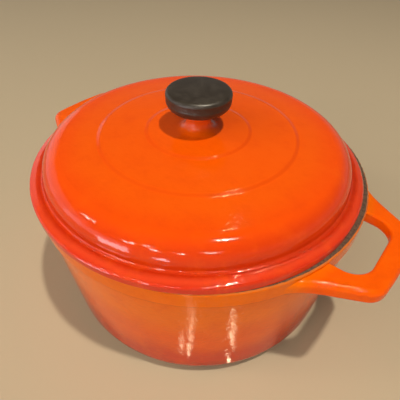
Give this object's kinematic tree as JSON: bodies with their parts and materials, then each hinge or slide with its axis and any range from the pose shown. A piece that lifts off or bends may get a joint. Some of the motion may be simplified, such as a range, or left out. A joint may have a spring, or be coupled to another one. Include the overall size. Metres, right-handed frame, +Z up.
{
  "type": "dutch oven",
  "caption": "Round enamelled cast iron dutch oven with two loop handles and a domed lift-off lid held by a disc knob.",
  "frame": {"origin": "centre of the pot's flat base, on the surface it stands on", "axes": "+Z up along the pot's axis, X through the two handles"},
  "size_m": [0.342, 0.2747, 0.1968],
  "materials": {
    "pot_enamel": "gloss vitreous enamel on iron, orange fading to red at the base, sand inside, bare dark rim",
    "lid_enamel": "gloss vitreous enamel on iron, orange fading to red at the flange",
    "knob_phenolic": "satin",
    "insert_brass": "satin",
    "fixing_steel": "satin"
  },
  "bodies": {
    "pot": {"pot": "pot_enamel"},
    "lid": {"lid": "lid_enamel", "knob": "knob_phenolic", "knob_insert": "insert_brass", "knob_screw": "fixing_steel", "knob_washer": "fixing_steel"}
  },
  "joints": [
    {"name": "lid_lift", "type": "slide", "parent": "pot", "child": "lid", "axis": [0, 0, 1], "range_m": [0, 0.15]}
  ]
}
